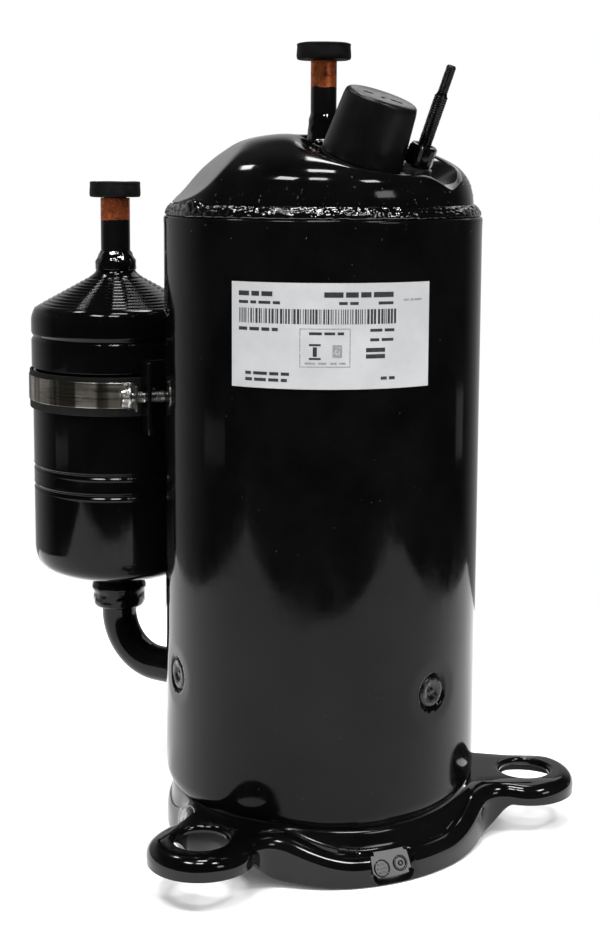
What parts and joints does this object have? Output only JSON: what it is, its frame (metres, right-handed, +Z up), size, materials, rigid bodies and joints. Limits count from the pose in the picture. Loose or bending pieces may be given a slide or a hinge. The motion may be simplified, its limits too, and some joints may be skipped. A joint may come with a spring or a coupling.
{
  "type": "refrigeration rotary compressor",
  "caption": "Hermetic rotary compressor: black steel can with domed cap, side suction accumulator in a strap, plugged pipe ends, tilted terminal cover and a footed base",
  "frame": {"origin": "middle of the whole footprint, in the plane of the lower edge of the base skirt", "axes": "+Z up along the shell, +X towards the foot on the right of the label, -Y towards the name label"},
  "size_m": [0.2192, 0.175, 0.2956],
  "materials": {
    "black_paint": "gloss black enamel",
    "weld_paint": "rough gloss black enamel over the weld",
    "copper_pipe": "bare copper, slightly oxidised, painted black part-way up",
    "plug_rubber": "matt black rubber",
    "cover_plastic": "satin black moulded plastic",
    "strap_steel": "plain zinc-plated steel",
    "label_film": "pale grey printed film with a white border",
    "terminal_steel": "plain steel",
    "core_steel": "electrical steel laminations",
    "winding_copper": "enamelled copper wire, varnished",
    "cast_aluminium": "as cast",
    "weight_brass": "machined",
    "pump_iron": "machined grey iron",
    "pump_steel": "ground or pressed steel",
    "lead_sleeving": "pale woven sleeving"
  },
  "bodies": {
    "housing": {"main_shell": "black_paint", "top_cap": "black_paint", "mount_base": "black_paint", "discharge_collar": "black_paint", "accumulator_upper_shell": "black_paint", "accumulator_lower_shell": "black_paint", "inlet_collar": "black_paint", "accumulator_neck_collar": "black_paint", "suction_tube": "black_paint", "suction_collar": "black_paint", "strap_bracket": "black_paint", "cover_stud": "black_paint", "upper_weld_bead": "weld_paint", "plug_weld_1": "weld_paint", "plug_weld_2": "weld_paint", "plug_weld_3": "weld_paint", "discharge_pipe": "copper_pipe", "inlet_pipe": "copper_pipe", "strap_pad": "plug_rubber", "terminal_connector": "cover_plastic", "strap": "strap_steel", "strap_screw": "strap_steel", "name_label": "label_film", "terminal_body": "terminal_steel", "terminal_pin_1": "terminal_steel", "terminal_pin_2": "terminal_steel", "terminal_pin_3": "terminal_steel", "stator_core": "core_steel", "stator_winding": "winding_copper", "main_bearing": "pump_iron", "cylinder": "pump_iron", "sub_bearing": "pump_iron", "vane_spring": "pump_steel", "valve_stop": "pump_steel", "muffler": "pump_steel", "pump_screw_1": "pump_steel", "pump_screw_2": "pump_steel", "pump_screw_3": "pump_steel", "pump_screw_4": "pump_steel", "accumulator_screen": "pump_steel", "accumulator_baffle": "pump_steel", "lead_sleeve": "lead_sleeving"},
    "rotor": {"crankshaft": "pump_iron", "rotor_core": "core_steel", "rotor_ring_lower": "cast_aluminium", "rotor_ring_upper": "cast_aluminium", "balance_weight_lower": "weight_brass", "balance_weight_upper": "weight_brass", "oil_paddle": "pump_steel"},
    "roller": {"roller": "pump_steel"},
    "vane": {"vane": "pump_steel"},
    "reed_valve": {"discharge_reed": "pump_steel"},
    "discharge_plug_body": {"discharge_plug": "plug_rubber"},
    "inlet_plug_body": {"inlet_plug": "plug_rubber"},
    "terminal_cover_body": {"terminal_cover": "cover_plastic", "cover_gasket": "plug_rubber"},
    "cover_nut_body": {"cover_nut": "black_paint"}
  },
  "joints": [
    {"name": "shaft_spin", "type": "hinge", "parent": "housing", "child": "rotor", "pos_m": [0.0113, 0, 0.1], "axis": [0, 0, 1], "continuous": true},
    {"name": "roller_turn", "type": "hinge", "parent": "rotor", "child": "roller", "pos_m": [0.0089, 0.00416, 0.0475], "axis": [0, 0, 1], "continuous": true},
    {"name": "vane_slide", "type": "slide", "parent": "housing", "child": "vane", "axis": [-0.5, 0.866, 0], "range_m": [0, 0.0012], "stiffness_N_per_m": 300, "springref_m": -0.008, "deforming": ["vane_spring"]},
    {"name": "discharge_reed_lift", "type": "hinge", "parent": "housing", "child": "reed_valve", "pos_m": [0.0273, 0.0256, 0.0698], "axis": [0, 1, 0], "range_deg": [0, 5.5], "stiffness_Nm_per_rad": 0.05, "springref_deg": -5.73},
    {"name": "discharge_plug_pull", "type": "slide", "parent": "housing", "child": "discharge_plug_body", "axis": [0, 0, 1], "range_m": [0, 0.03]},
    {"name": "inlet_plug_pull", "type": "slide", "parent": "housing", "child": "inlet_plug_body", "axis": [0, 0, 1], "range_m": [0, 0.03]},
    {"name": "cover_lift", "type": "slide", "parent": "housing", "child": "terminal_cover_body", "axis": [0.3031, -0.1958, 0.9326], "range_m": [0, 0.045]},
    {"name": "cover_nut_off", "type": "slide", "parent": "housing", "child": "cover_nut_body", "axis": [0.3031, -0.1958, 0.9326], "range_m": [0, 0.0565]}
  ],
  "couplings": [
    {"joint": "roller_turn", "follows": "shaft_spin", "ratio": -0.9},
    {"joint": "cover_nut_off", "follows": "cover_lift", "ratio": 1.25}
  ]
}
